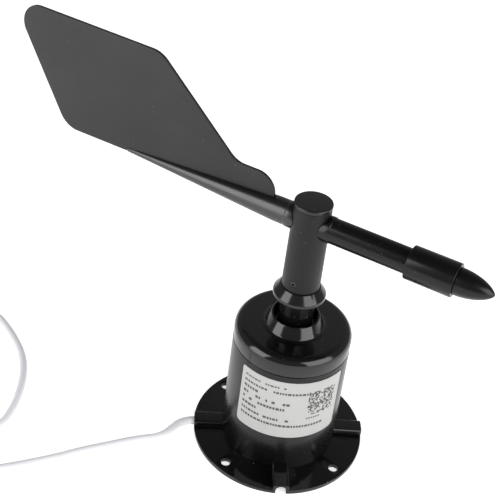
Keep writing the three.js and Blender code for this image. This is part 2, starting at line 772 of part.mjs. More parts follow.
function noseSleeve() {
  const bore = BOOM_RADIUS + FIT;
  const edge = 0.3;
  return turnedAlongX([
    [SLEEVE_START, bore],
    [SLEEVE_START, SLEEVE_RADIUS - edge],
    [SLEEVE_START + edge, SLEEVE_RADIUS],
    [SLEEVE_END - edge, SLEEVE_RADIUS],
    [SLEEVE_END, SLEEVE_RADIUS - edge],
    [SLEEVE_END, bore],
  ]).translate(0, 0, BOOM_HEIGHT);
}

function noseTip() {
  const start = SLEEVE_END + FIT;
  const length = NOSE_TIP - start;
  const profile = [
    [60.5, 0],
    [60.5, BOOM_RADIUS],
    [start, BOOM_RADIUS],
    [start, NOSE_RADIUS],
  ];
  for (let i = 1; i < 10; i += 1) {
    const share = Math.sin((Math.PI / 2) * (i / 10));
    profile.push([start + length * share, NOSE_RADIUS * (1 - share * share) ** 0.65]);
  }
  profile.push([NOSE_TIP, 0]);
  return turnedAlongX(profile).translate(0, 0, BOOM_HEIGHT);
}

function tailRadius(x) {
  const share = (x - TAIL_TAPER_START) / (TAIL_END - TAIL_TAPER_START);
  return BOOM_RADIUS + share * (TAIL_END_RADIUS - BOOM_RADIUS);
}

// The blade's lower edge lies a little below the top of the tapered tail.
const BLADE_FRONT = -17.7;
const BLADE_SINK = 0.95;
const BLADE_CORNERS = [
  [BLADE_FRONT, tailRadius(BLADE_FRONT) - BLADE_SINK, 0],
  [BLADE_FRONT, 14.55, 9],
  [-36.9, 14.55, 10],
  [-76.4, 51.2, 11.5],
  [-153.9, 52.85, 9],
  [-124.9, -0.85, 10.5],
  [TAIL_END - 0.3, -0.85, 0],
  [TAIL_END - 0.3, TAIL_END_RADIUS - BLADE_SINK, 0],
];

function blade() {
  const sheet = extruded(rounded(BLADE_CORNERS), BLADE_THICKNESS, 7);
  return sheet.rotateX(Math.PI / 2).translate(0, BLADE_THICKNESS / 2, BOOM_HEIGHT);
}

function tailBoom() {
  const ringFrom = -8.7;
  const ringTo = -9.9;
  const rod = turnedAlongX([
    [0, 0],
    [0, BOOM_RADIUS + 0.3],
    [ringTo, BOOM_RADIUS + 0.3],
    [ringTo - 0.4, BOOM_RADIUS],
    [TAIL_TAPER_START, BOOM_RADIUS],
    [TAIL_END + 0.4, TAIL_END_RADIUS],
    [TAIL_END, TAIL_END_RADIUS - 0.4],
    [TAIL_END, 0],
  ]);
  const slotCorners = [
    [BLADE_FRONT + 0.3, tailRadius(BLADE_FRONT) - BLADE_SINK - 0.3, 0],
    [BLADE_FRONT + 0.3, 20, 0],
    [TAIL_END - 3, 20, 0],
    [TAIL_END - 3, TAIL_END_RADIUS - BLADE_SINK - 0.3, 0],
  ];
  const slotWidth = BLADE_THICKNESS + 0.4;
  const slot = extruded(rounded(slotCorners), slotWidth).rotateX(Math.PI / 2).translate(0, slotWidth / 2, 0);
  return cut(seatedOnHub(rod, ringFrom - 5, -0.3), slot).translate(0, 0, BOOM_HEIGHT);
}

function addVane() {
  add(vane, "shaft", shaft(), STEEL);
  add(vane, "magnet_holder", magnetHolder(), SATIN_BLACK);
  add(vane, "magnet", cylinder(4, 33.6, 36.3, SMALL), MAGNET_GREY);
  const clip = splitRing(SHAFT_RADIUS - 0.3, 4.1, SHAFT_GROOVE - 0.3, SHAFT_GROOVE + 0.3, 3.4);
  add(vane, "shaft_clip", clip, STEEL);
  add(vane, "lower_bearing_inner_ring", innerRing().translate(0, 0, LOWER_BEARING), BEARING_STEEL);
  add(vane, "upper_bearing_inner_ring", innerRing().translate(0, 0, UPPER_BEARING), BEARING_STEEL);
  const spacerRadius = 3.9;
  const bore = SHAFT_RADIUS + 0.1;
  const lowerTop = LOWER_BEARING + BEARING_WIDTH + 0.05;
  const upperTop = UPPER_BEARING + BEARING_WIDTH + 0.05;
  add(vane, "bearing_spacer", tube(bore, spacerRadius, lowerTop, UPPER_BEARING - 0.05), ALUMINIUM);
  add(vane, "neck_spacer", tube(bore, spacerRadius, upperTop, NECK_BOTTOM - 0.05), ALUMINIUM);
  add(vane, "neck_and_rain_skirt", neckAndSkirt(), GLOSS_BLACK);
  add(vane, "vane_hub", hub(), MATT_BLACK);
  add(vane, "hub_cap", hubCap(), SATIN_BLACK);
  add(vane, "hub_set_screw", setScrew(), STEEL);
  add(vane, "front_boom", frontBoom(), GLOSS_BLACK);
  add(vane, "nose_sleeve", noseSleeve(), GLOSS_BLACK);
  const weight = turnedAlongX([[56.3, 0], [56.3, 5.2], [60.2, 5.2], [60.2, 0]]);
  add(vane, "nose_weight", weight.translate(0, 0, BOOM_HEIGHT), BRASS);
  add(vane, "nose_tip", noseTip(), GLOSS_BLACK);
  add(vane, "tail_boom", tailBoom(), GLOSS_BLACK);
  add(vane, "vane_blade", blade(), MATT_BLACK);
}

// ---------- cable ----------
// From the gland the cable turns into the -X duct, runs out over the ground, makes a bight
// and ends at the coil. The points lie on the cable's centreline.
const GLAND_END = RECESS_TOP - 2.3;
const CABLE_ROUTE = [
  [0, 0, GLAND_END],
  [-0.6, 0, 11.2],
  [-2.5, 0, 7.7],
  [-5.8, 0, 4.6],
  [-10, 0, 2.7],
  [-15, 0, 2.15],
  [-26, 0, 2.1],
  [-39, 0, 2.1],
  [-43.4, -0.8, 2.1],
  [-47.3, -3, 2.1],
  [-50.3, -6.5, 2.1],
  [-53.4, -10, 2.1],
  [-57.2, -12.3, 2.1],
  [-61.7, -13.5, 2.1],
  [-67, -14.9, 2.1],
  [-73.2, -17, 2.1],
  [-82, -20.2, 2.1],
  [-90.7, -23.4, 2.1],
  [-99.2, -27.2, 2.1],
  [-111.8, -31.9, 2.1],
  [-124.4, -35.9, 2.1],
  [-137, -38.4, 2.1],
  [-147.5, -35.5, 2.1],
  [-152.5, -27, 2.1],
  [-149, -18.5, 2.1],
  [-140.5, -15.2, 2.1],
  [-133, -13.6, 2.1],
  [-128, -8, 2.1],
  [-125.2, 0.5, 2.1],
  [-123.8, 13.5, 2.1],
  [-124.3, 26, 2.1],
  [-127, 37.4, 2.1],
  [-133, 49.8, 2.1],
  [-141.3, 62.3, 2.1],
  [-151.3, 73.6, 2.1],
  [-155.6, 84, 2.1],
];

const COIL_OUTER = COIL_MEAN_RADIUS + COIL_WIDTH / 2;
const END_X = COIL_CENTRE[0] - COIL_OUTER - CABLE_RADIUS - 0.4;
const END_START = COIL_CENTRE[1] - 2;
const SHEATH_END = END_START - 26;

function coil() {
  const [inner, outer] = [COIL_MEAN_RADIUS - COIL_WIDTH / 2, COIL_OUTER];
  const edge = 1.2;
  const profile = [
    [inner + edge, COIL_BOTTOM],
    [outer - edge, COIL_BOTTOM],
    [outer, COIL_BOTTOM + edge],
    [outer, COIL_TOP - edge],
    [outer - edge, COIL_TOP],
    [inner + edge, COIL_TOP],
    [inner, COIL_TOP - edge],
    [inner, COIL_BOTTOM + edge],
  ];
  return turned(profile, 40).translate(COIL_CENTRE[0], COIL_CENTRE[1], 0);
}

function coilTie() {
  const frame = (margin, depth) => {
    const width = COIL_WIDTH + 2 * margin;
    const outline = rounded([
      [COIL_MEAN_RADIUS - width / 2, COIL_BOTTOM - margin, 1],
      [COIL_MEAN_RADIUS + width / 2, COIL_BOTTOM - margin, 1],
      [COIL_MEAN_RADIUS + width / 2, COIL_TOP + margin, 1],
      [COIL_MEAN_RADIUS - width / 2, COIL_TOP + margin, 1],
    ]);
    return extruded(outline, depth, 2).rotateX(Math.PI / 2).translate(0, depth / 2, 0);
  };
  const band = cut(frame(0.7, 3), frame(0.25, 5));
  return aroundZ(band, 120).translate(COIL_CENTRE[0], COIL_CENTRE[1], 0);
}

function addCable() {
  add(object, "cable_run", bar(CABLE_ROUTE, CABLE_RADIUS, 8, 64), WHITE_CABLE);
  add(object, "cable_coil", coil(), WHITE_CABLE);
  add(object, "coil_tie", coilTie(), RUBBER);
  const tailRoute = [END_START, END_START - 13, SHEATH_END].map((y) => [END_X, y, 2.1]);
  const tail = bar(tailRoute, CABLE_RADIUS, 8, 4);
  add(object, "cable_end", tail, WHITE_CABLE);
  const spread = [-1.5, -0.5, 0.5, 1.5];
  const coreLooks = [0x6b3f22, 0x1c1c1e, 0xd8b62a, 0x2456a8].map((color) => finish(color, 0.5));
  spread.forEach((side, i) => {
    const core = bar(
      [
        [END_X + side, SHEATH_END - 0.3, 1.9],
        [END_X + side * 1.8, SHEATH_END - 8, 0.9],
        [END_X + side * 3, SHEATH_END - 18, 0.5],
      ],
      CORE_RADIUS,
      8,
      6,
    );
    add(object, `cable_core_${i + 1}`, core, coreLooks[i]);
  });
}

addBase();
addElectronics();
addBearings();
addVane();
addCable();

export default object;
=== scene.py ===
# Wind vane sensor. Metres, +Z up, origin at the centre of the flange's underside.
import math
import random

import bmesh
import bpy
from mathutils import Matrix, Vector


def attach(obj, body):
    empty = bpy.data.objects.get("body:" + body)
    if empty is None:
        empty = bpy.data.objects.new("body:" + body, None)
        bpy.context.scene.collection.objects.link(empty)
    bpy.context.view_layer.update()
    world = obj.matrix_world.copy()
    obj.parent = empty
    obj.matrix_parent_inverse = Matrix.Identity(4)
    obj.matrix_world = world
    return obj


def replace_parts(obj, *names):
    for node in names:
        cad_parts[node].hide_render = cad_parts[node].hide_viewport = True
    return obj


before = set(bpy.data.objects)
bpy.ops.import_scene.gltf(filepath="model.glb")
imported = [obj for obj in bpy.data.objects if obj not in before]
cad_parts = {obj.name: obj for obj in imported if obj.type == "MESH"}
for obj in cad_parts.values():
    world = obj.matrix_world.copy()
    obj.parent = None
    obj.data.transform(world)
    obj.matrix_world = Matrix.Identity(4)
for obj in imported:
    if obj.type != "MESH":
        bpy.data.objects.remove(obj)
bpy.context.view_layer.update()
MM = 0.001
scene = bpy.context.scene

HEADING = math.radians(-31.0)  # where the nose points at rest

# Driving dimensions in millimetres. Circles and bores are given by their radii. Heights are from
# the flange's underside, lengths along the boom from the turning axis, and the blade's lobe and
# foot from the boom's own axis.
FLANGE_RADIUS = 40
FLANGE_THICKNESS = 2
BOLT_CIRCLE = 35
BOLT_HOLE = 2.15
DOME_RADIUS = 16
DOME_TOP = 19
RECESS_RADIUS = 14.2
RECESS_TOP = 17
BOSS_CIRCLE = 21.6
COVER_SCREW_CIRCLE = 11.4
DUCT_WIDTH = 7.3
DUCT_TOP = 5.1
TUNNEL_RADIUS = 2.4
TUNNEL_SPRING = 2.0  # where the tunnel's arched roof starts
SHELL_LOW = 2.1
SHELL_FOOT = 26.7
SHELL_HEAD = 26.15
SEAM = 57.8  # joint between the shell and the cap
CAP_TOP = 66.9
CAP_SHOULDER = 4.1
CAP_BORE = 21.6
SPIGOT_RADIUS = 23.3
SPIGOT_BOTTOM = 53.5
COLLAR_TOP = 72.28
COLLAR_BORE = 8.6
SHAFT_BORE = 2.55
NECK_BOTTOM = 67
NECK_RADIUS = 7.75
SKIRT_RADIUS = 11.58
HUB_BOTTOM = 88.9
HUB_TOP = 128.8
LID_TOP = 130.6
LID_PLUG = 4.9
SET_SCREW_HEIGHT = 92.9
BOOM_HEIGHT = 120.55
BOOM_RADIUS = 5.45
RING_RADIUS = 5.75
RING_END = 9.9
SPIGOT_IN_HUB = 4.2
BOOM_BORE = 4.3
SLEEVE_START = 44
SLEEVE_END = 63.9
SLEEVE_RADIUS = 7.15
SLEEVE_BORE = 5.55
NOSE_RADIUS = 5.75
NOSE_TIP = 79.3
TAPER_START = -15.5
TAIL_END = -91
TAIL_END_RADIUS = 1.25
BLADE_FRONT = -17.7
BLADE_LOBE = 14.55
BLADE_FOOT = -0.85
BLADE_THICKNESS = 1.46


# ---------- camera ----------
FOCAL_LENGTH = 72.57
CAMERA_PLACE = Vector((-53.65, -335.52, 348.80))  # millimetres
CAMERA_AIM = Vector((0.07062, 0.80716, -0.58608))
CAMERA_LEVEL = Vector((0.99619, -0.08716, 0.0))  # the frame's right before the roll
CAMERA_ROLL = math.radians(6.98)


def add_camera():
    data = bpy.data.cameras.new("camera")
    data.sensor_width = 36.0
    data.lens = FOCAL_LENGTH
    data.clip_start = 0.01
    data.clip_end = 20
    camera = bpy.data.objects.new("camera", data)
    scene.collection.objects.link(camera)
    forward = CAMERA_AIM.normalized()
    above = CAMERA_LEVEL.cross(forward)
    right = CAMERA_LEVEL * math.cos(CAMERA_ROLL) + above * math.sin(CAMERA_ROLL)
    up = above * math.cos(CAMERA_ROLL) - CAMERA_LEVEL * math.sin(CAMERA_ROLL)
    turn = Matrix((right, up, -forward)).transposed().to_4x4()
    camera.matrix_world = Matrix.Translation(CAMERA_PLACE * MM) @ turn
    scene.camera = camera


add_camera()


# ---------- materials ----------
def new_material(name):
    material = bpy.data.materials.new(name)
    material.use_nodes = True
    nodes = material.node_tree.nodes
    return material, nodes, material.node_tree.links, nodes["Principled BSDF"]


def noise(nodes, links, scale, detail=4.0, roughness=0.55, stretch=(1, 1, 1)):
    """Noise that keeps its place on the object; stretch draws it out along an axis."""
    where = nodes.new("ShaderNodeTexCoord")
    mapping = nodes.new("ShaderNodeMapping")
    mapping.inputs["Scale"].default_value = stretch
    texture = nodes.new("ShaderNodeTexNoise")
    texture.inputs["Scale"].default_value = scale
    texture.inputs["Detail"].default_value = detail
    texture.inputs["Roughness"].default_value = roughness
    links.new(where.outputs["Object"], mapping.inputs["Vector"])
    links.new(mapping.outputs["Vector"], texture.inputs["Vector"])
    return texture.outputs["Fac"]


def ramp(nodes, links, factor, stops):
    """Colours a factor between stops of (position, value)."""
    node = nodes.new("ShaderNodeValToRGB")
    points = node.color_ramp.elements
    while len(points) < len(stops):
        points.new(0.5)
    for point, (position, value) in zip(points, stops):
        point.position = position
        point.color = value if len(value) == 4 else (*value, 1)
    links.new(factor, node.inputs["Fac"])
    return node.outputs["Color"]


def grey(value):
    return (value, value, value)


def bump(nodes, links, height, strength, distance):
    node = nodes.new("ShaderNodeBump")
    node.inputs["Strength"].default_value = strength
    node.inputs["Distance"].default_value = distance
    links.new(height, node.inputs["Height"])
    return node.outputs["Normal"]


def plastic(name, dark, light, rough, spread, grain, depth, dust=0.0, specular=0.5):
    """Moulded plastic: mottled colour, uneven gloss, fine surface grain and a little dust."""
    material, nodes, links, shader = new_material(name)
    tone = ramp(nodes, links, noise(nodes, links, 38, 5), [(0.3, dark), (0.72, light)])
    if dust:
        grit = noise(nodes, links, 950, 1.5)
        specks = ramp(nodes, links, grit, [(0.74, grey(0)), (0.8, grey(dust))])
        mix = nodes.new("ShaderNodeMix")
        mix.data_type = "RGBA"
        mix.inputs["B"].default_value = (0.55, 0.55, 0.55, 1)
        links.new(specks, mix.inputs["Factor"])
        links.new(tone, mix.inputs["A"])
        tone = mix.outputs["Result"]
    links.new(tone, shader.inputs["Base Color"])
    uneven = noise(nodes, links, 75, 6, 0.6)
    gloss = ramp(nodes, links, uneven, [(0.3, grey(rough - spread)), (0.7, grey(rough + spread))])
    links.new(gloss, shader.inputs["Roughness"])
    fine = noise(nodes, links, grain, 3)
    links.new(bump(nodes, links, fine, 0.35, depth), shader.inputs["Normal"])
    shader.inputs["Specular IOR Level"].default_value = specular
    return material


def metal(name, dark, light, rough):
    """Brushed metal: its grain, gloss and colour follow one stretched noise."""
    material, nodes, links, shader = new_material(name)
    shader.inputs["Metallic"].default_value = 1
    brushed = noise(nodes, links, 600, 3, 0.6, (1, 1, 12))
    links.new(ramp(nodes, links, brushed, [(0.3, dark), (0.7, light)]), shader.inputs["Base Color"])
    gloss = ramp(nodes, links, brushed, [(0.2, grey(rough - 0.08)), (0.8, grey(rough + 0.1))])
    links.new(gloss, shader.inputs["Roughness"])
    links.new(bump(nodes, links, brushed, 0.2, 0.00002), shader.inputs["Normal"])
    return material


GLOSS = plastic("gloss_black", grey(0.0028), grey(0.0052), 0.15, 0.035, 260, 0.00002, 0.25)
CAP_GLOSS = plastic("cap_black", grey(0.0024), grey(0.0044), 0.12, 0.03, 260, 0.00001, 0.25)
FLANGE_GLOSS = plastic("flange_black", grey(0.0026), grey(0.005), 0.09, 0.03, 260, 0.00001, 0.3, 0.36)
SATIN = plastic("satin_black", grey(0.0045), grey(0.0075), 0.33, 0.05, 900, 0.00002, 0.2)
SHELL_SATIN = plastic("shell_black", grey(0.003), grey(0.0052), 0.24, 0.04, 900, 0.00002, 0.2, 0.32)
TAIL_SATIN = plastic("tail_black", grey(0.003), grey(0.005), 0.3, 0.04, 700, 0.00002, 0.15, 0.75)
NOSE_SATIN = plastic("nose_black", grey(0.0025), grey(0.0045), 0.24, 0.04, 700, 0.00002, 0.15, 0.3)
HUB = plastic("hub_grey", grey(0.003), grey(0.005), 0.46, 0.05, 1400, 0.00003, 0.2, 0.3)
BLADE = plastic("blade_grey", grey(0.012), grey(0.017), 0.46, 0.05, 1600, 0.00003, 0.15, 0.38)
RUBBER = plastic("rubber", grey(0.008), grey(0.016), 0.78, 0.08, 1200, 0.00005, 0.2)
CABLE = plastic("cable_white", (0.80, 0.79, 0.83), (0.88, 0.87, 0.90), 0.42, 0.06, 700, 0.00003)
LABEL_STOCK = plastic("label_stock", (0.40, 0.40, 0.39), (0.44, 0.44, 0.43), 0.42, 0.04, 900, 0.00001)
INK = plastic("label_ink", grey(0.04), grey(0.08), 0.5, 0.05, 1500, 0.00001)
NYLON = plastic("nylon_white", grey(0.62), grey(0.72), 0.5, 0.05, 900, 0.00003)
BOARD = plastic("board_green", (0.008, 0.07, 0.02), (0.012, 0.10, 0.03), 0.3, 0.08, 500, 0.00002)
CHIP = plastic("chip_black", grey(0.008), grey(0.014), 0.5, 0.06, 1600, 0.00002)
STEEL = metal("steel", grey(0.42), grey(0.6), 0.3)
DARK_STEEL = metal("blackened_steel", grey(0.05), grey(0.08), 0.5)
POLISHED = metal("bearing_steel", grey(0.55), grey(0.7), 0.16)
BRASS = metal("brass", (0.55, 0.38, 0.14), (0.68, 0.49, 0.2), 0.3)
ALUMINIUM = metal("aluminium", grey(0.5), grey(0.62), 0.36)
NICKEL = metal("magnet_nickel", grey(0.36), grey(0.46), 0.24)
CORES = [
    plastic("core_brown", (0.12, 0.045, 0.018), (0.16, 0.06, 0.025), 0.42, 0.05, 900, 0.00002),
    plastic("core_black", grey(0.009), grey(0.014), 0.42, 0.05, 900, 0.00002),
    plastic("core_yellow", (0.62, 0.43, 0.02), (0.72, 0.50, 0.03), 0.42, 0.05, 900, 0.00002),
    plastic("core_blue", (0.015, 0.08, 0.34), (0.02, 0.11, 0.42), 0.42, 0.05, 900, 0.00002),
]


# ---------- mesh helpers ----------
def link(name, mesh, material, sharp=35):
    """Makes an object of a mesh, smooth but for edges sharper than the angle in degrees."""
    obj = bpy.data.objects.new(name, mesh)
    scene.collection.objects.link(obj)
    mesh.materials.clear()
    mesh.materials.append(material)
    smooth(mesh, sharp)
    return obj


def smooth(mesh, sharp):
    for face in mesh.polygons:
        face.use_smooth = True
    mesh.set_sharp_from_angle(angle=math.radians(sharp))


def mesh_of(work, name):
    """The finished mesh, with doubled points joined and faces turned outwards."""
    bmesh.ops.remove_doubles(work, verts=work.verts, dist=1e-7)
    bmesh.ops.recalc_face_normals(work, faces=work.faces)
    mesh = bpy.data.meshes.new(name)
    work.to_mesh(mesh)
    work.free()
    return mesh


def softened(profile, steps=4):
    """A profile of [radius, z, corner radius] points with its corners rounded."""
    points = []
    count = len(profile)
    for i, entry in enumerate(profile):
        here = Vector(entry[:2])
        size = entry[2] if len(entry) > 2 else 0
        if size <= 0 or i in (0, count - 1):
            points.append(here)
            continue
        before = Vector(profile[i - 1][:2]) - here
        after = Vector(profile[i + 1][:2]) - here
        reach = min(size, before.length * 0.48, after.length * 0.48)
        start = here + before.normalized() * reach
        end = here + after.normalized() * reach
        for k in range(steps + 1):
            t = k / steps
            points.append(start * (1 - t) ** 2 + here * 2 * t * (1 - t) + end * t * t)
    return points


def lathe(name, profile, facets=160, steps=4, closes=False):
    """A mesh turned about Z from [radius, z, corner radius] points in millimetres."""
    points = softened(profile, steps)
    work = bmesh.new()
    rings = []
    for point in points:
        if abs(point.x) < 1e-6:
            rings.append([work.verts.new((0, 0, point.y * MM))])
            continue
        ring = []
        for i in range(facets):
            angle = 2 * math.pi * i / facets
            spot = (point.x * MM * math.cos(angle), point.x * MM * math.sin(angle), point.y * MM)
            ring.append(work.verts.new(spot))
        rings.append(ring)
    pairs = list(zip(rings, rings[1:]))
    if closes:
        pairs.append((rings[-1], rings[0]))
    for low, high in pairs:
        for i in range(facets):
            j = (i + 1) % facets
            corners = [low[i % len(low)], low[j % len(low)], high[j % len(high)], high[i % len(high)]]
            unique = list(dict.fromkeys(corners))
            if len(unique) > 2:
                work.faces.new(unique)
    return mesh_of(work, name)


def along_x(mesh):
    """Turns a mesh made about Z so that its axis is X."""
    mesh.transform(Matrix.Rotation(math.pi / 2, 4, "Y"))
    return mesh


def raised(mesh, height):
    mesh.transform(Matrix.Translation((0, 0, height * MM)))
    return mesh


def prism(name, outline, depth):
    """A mesh of an outline (x, y) in millimetres, from z 0 to depth."""
    work = bmesh.new()
    low = [work.verts.new((x * MM, y * MM, 0)) for x, y in outline]
    high = [work.verts.new((x * MM, y * MM, depth * MM)) for x, y in outline]
    work.faces.new(low)
    work.faces.new(high)
    for i in range(len(low)):
        j = (i + 1) % len(low)
        work.faces.new((low[i], low[j], high[j], high[i]))
    return mesh_of(work, name)


def outline_of(corners, steps):
    """Corner points [x, y, radius], each rounded by a true arc."""
    points = []
    count = len(corners)
    for i, (x, y, radius) in enumerate(corners):
        here = Vector((x, y))
        if radius == 0:
            points.append((x, y))
            continue
        before = (Vector(corners[i - 1][:2]) - here).normalized()
        after = (Vector(corners[(i + 1) % count][:2]) - here).normalized()
        half = before.angle(after) / 2
        middle = here + (before + after).normalized() * (radius / math.sin(half))
        start = here + before * (radius / math.tan(half)) - middle
        end = here + after * (radius / math.tan(half)) - middle
        sweep = math.atan2(start.x * end.y - start.y * end.x, start.dot(end))
        for k in range(steps + 1):
            angle = sweep * k / steps
            turned = Vector((start.x * math.cos(angle) - start.y * math.sin(angle),
                             start.x * math.sin(angle) + start.y * math.cos(angle)))
            points.append(tuple(middle + turned))
    return points


def boolean(mesh, tools, operation):
    """Joins or cuts a mesh with others and returns the result."""
    base = bpy.data.objects.new("work", mesh)
    scene.collection.objects.link(base)
    helpers = []
    for tool in tools:
        helper = bpy.data.objects.new("tool", tool)
        scene.collection.objects.link(helper)
        helpers.append(helper)
        modifier = base.modifiers.new("cut", "BOOLEAN")
        modifier.operation = operation
        modifier.solver = "EXACT"
        modifier.object = helper
    graph = bpy.context.evaluated_depsgraph_get()
    result = bpy.data.meshes.new_from_object(base.evaluated_get(graph))
    for helper in helpers:
        bpy.data.objects.remove(helper)
    bpy.data.objects.remove(base)
    return result


def bevelled(mesh, width, segments=2, angle=40):
    """Rounds the sharp edges of a mesh."""
    work = bpy.data.objects.new("work", mesh)
    scene.collection.objects.link(work)
    modifier = work.modifiers.new("edge", "BEVEL")
    modifier.width = width * MM
    modifier.segments = segments
    modifier.limit_method = "ANGLE"
    modifier.angle_limit = math.radians(angle)
    graph = bpy.context.evaluated_depsgraph_get()
    result = bpy.data.meshes.new_from_object(work.evaluated_get(graph))
    bpy.data.objects.remove(work)
    return result


def turned_copy(mesh, degrees):
    copy = mesh.copy()
    copy.transform(Matrix.Rotation(math.radians(degrees), 4, "Z"))
    return copy


def moved_copy(mesh, radius, degrees):
    """A copy moved out to a radius and turned about the axis."""
    copy = mesh.copy()
    copy.transform(Matrix.Translation((radius * MM, 0, 0)))
    copy.transform(Matrix.Rotation(math.radians(degrees), 4, "Z"))
    return copy


def merged(name, meshes):
    """One mesh made of several."""
    work = bmesh.new()
    for mesh in meshes:
        work.from_mesh(mesh)
    mesh = bpy.data.meshes.new(name)
    work.to_mesh(mesh)
    work.free()
    return mesh


def on_vane(obj):
    """Puts a piece made with the nose along +X at the vane's heading."""
    obj.data.transform(Matrix.Rotation(HEADING, 4, "Z"))
    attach(obj, "vane")
    return obj


# ---------- cable ----------
CABLE_RADIUS = 2.0
GLAND_END = 14.7
ROUTE = [
    (0, 0, GLAND_END), (-0.6, 0, 11.2), (-2.5, 0, 7.7), (-5.8, 0, 4.6), (-10, 0, 2.7), (-15, 0, 2.15),
    (-26, 0, 2.1), (-39, 0, 2.1), (-43.4, -0.8, 2.1), (-47.3, -3, 2.1), (-50.3, -6.5, 2.1),
    (-53.4, -10, 2.1), (-57.2, -12.3, 2.1), (-61.7, -13.5, 2.1), (-67, -14.9, 2.1), (-73.2, -17, 2.1),
    (-82, -20.2, 2.1), (-90.7, -23.4, 2.1), (-99.2, -27.2, 2.1), (-111.8, -31.9, 2.1),
    (-124.4, -35.9, 2.1), (-137, -38.4, 2.1), (-147.5, -35.5, 2.1), (-152.5, -27, 2.1),
    (-149, -18.5, 2.1), (-140.5, -15.2, 2.1), (-133, -13.6, 2.1), (-128, -8, 2.1), (-125.2, 0.5, 2.1),
    (-123.8, 13.5, 2.1), (-124.3, 26, 2.1), (-127, 37.4, 2.1), (-133, 49.8, 2.1), (-141.3, 62.3, 2.1),
]
LEAD_IN = [(-151.3, 73.6, 2.1), (-156.2, 85.5, 2.5)]
COIL_CENTRE = Vector((-192, 74))
COIL_START = 30  # angle at which the cable meets the coil, in degrees
COIL_LOW = 2.9
COIL_STEP = 3.45
LOWER_TURNS = [31.5, 27.5, 23.5, 19.5, 15.5]
UPPER_TURNS = [17.5, 21.5, 25.5, 29.5]
COIL_MEAN = 23.5


def catmull(points, steps):
    """Points on a centripetal curve through the given ones."""
    found = []
    ends = [points[0] * 2 - points[1]] + points + [points[-1] * 2 - points[-2]]
    for a, b, c, d in zip(ends, ends[1:], ends[2:], ends[3:]):
        knots = [0.0]
        for low, high in ((a, b), (b, c), (c, d)):
            knots.append(knots[-1] + max((high - low).length, 1e-6) ** 0.5)
        for k in range(steps):
            t = knots[1] + (knots[2] - knots[1]) * k / steps
            first = a.lerp(b, (t - knots[0]) / (knots[1] - knots[0]))
            second = b.lerp(c, (t - knots[1]) / (knots[2] - knots[1]))
            third = c.lerp(d, (t - knots[2]) / (knots[3] - knots[2]))
            low = first.lerp(second, (t - knots[0]) / (knots[2] - knots[0]))
            high = second.lerp(third, (t - knots[1]) / (knots[3] - knots[1]))
            found.append(low.lerp(high, (t - knots[1]) / (knots[2] - knots[1])))
    found.append(points[-1])
    return found


def eased(value):
    """A share from 0 to 1 that starts and ends gently."""
    value = min(max(value, 0), 1)
    return value * value * (3 - 2 * value)


def coil_points():
    """Five turns inwards on the ground, then turns outwards on top of them, to the far side."""
    points = []
    radii = LOWER_TURNS + UPPER_TURNS
    heights = [COIL_LOW] * len(LOWER_TURNS) + [COIL_LOW + COIL_STEP] * len(UPPER_TURNS)
    total = 360 * (len(radii) - 1) + (180 - COIL_START)
    count = total // 12
    for i in range(count + 1):
        turned = total * i / count
        turn = int(turned // 360)
        share = (turned - 360 * turn) / 360
        turn = min(turn, len(radii) - 1)
        after = min(turn + 1, len(radii) - 1)
        change = eased((share - 0.8) / 0.2)
        radius = radii[turn] + (radii[after] - radii[turn]) * change
        height = heights[turn] + (heights[after] - heights[turn]) * change
        angle = math.radians(COIL_START + turned)
        points.append(Vector((COIL_CENTRE.x + radius * math.cos(angle),
                              COIL_CENTRE.y + radius * math.sin(angle), height)))
    return points


END_X = COIL_CENTRE.x - 33.5 - 2.4
SHEATH_END = COIL_CENTRE.y - 28


def cable_path():
    """The whole cable, from the gland to the end of its sheath."""
    coil = coil_points()
    last = coil[-1]
    tail = [
        Vector((last.x - 1.0, last.y - 8, last.z + 0.6)),
        Vector((last.x - 3.2, last.y - 16, last.z - 1.0)),
        Vector((END_X + 0.2, last.y - 24, 2.3)),
        Vector((END_X, SHEATH_END, 2.1)),
    ]
    route = [Vector(point) for point in ROUTE + LEAD_IN]
    return catmull(route + coil + tail, 3)


def add_curve(name, points, radius, material, sides):
    """A round cord along points in millimetres."""
    data = bpy.data.curves.new(name, "CURVE")
    data.dimensions = "3D"
    data.bevel_depth = radius * MM
    data.bevel_resolution = sides
    data.use_fill_caps = True
    spline = data.splines.new("POLY")
    spline.points.add(len(points) - 1)
    for target, point in zip(spline.points, points):
        target.co = (*(point * MM), 1)
    spline.use_smooth = True
    data.materials.append(material)
    obj = bpy.data.objects.new(name, data)
    scene.collection.objects.link(obj)
    return obj


cable = add_curve("signal_cable", cable_path(), CABLE_RADIUS, CABLE, 7)
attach(cable, "body")
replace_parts(cable, "cable_run", "cable_coil", "cable_end")


def add_cores():
    """Four insulated cores fan out of the sheath; each shows a bare strand bundle at its tip."""
    made = []
    for i, side in enumerate((-1.5, -0.5, 0.5, 1.5)):
        points = [
            Vector((END_X + side * 0.55, SHEATH_END + 2, 2.0 + 0.3 * (-1) ** i)),
            Vector((END_X + side * 0.75, SHEATH_END - 0.5, 1.95)),
            Vector((END_X + side * 1.3, SHEATH_END - 4, 1.4)),
            Vector((END_X + side * 1.9, SHEATH_END - 9, 0.8)),
            Vector((END_X + side * 2.5, SHEATH_END - 13, 0.5)),
            Vector((END_X + side * 2.75, SHEATH_END - 15, 0.48)),
        ]
        core = add_curve(f"core_{i + 1}", catmull(points, 6), 0.45, CORES[i], 4)
        tip = [points[-1] + Vector((0, 0.4, 0)), points[-1] + Vector((side * 0.25, -2.9, -0.1))]
        strands = add_curve(f"core_strands_{i + 1}", tip, 0.24, BRASS, 3)
        for piece in (core, strands):
            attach(piece, "body")
        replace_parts(core, f"cable_core_{i + 1}")
        made += [core, strands]
    return made


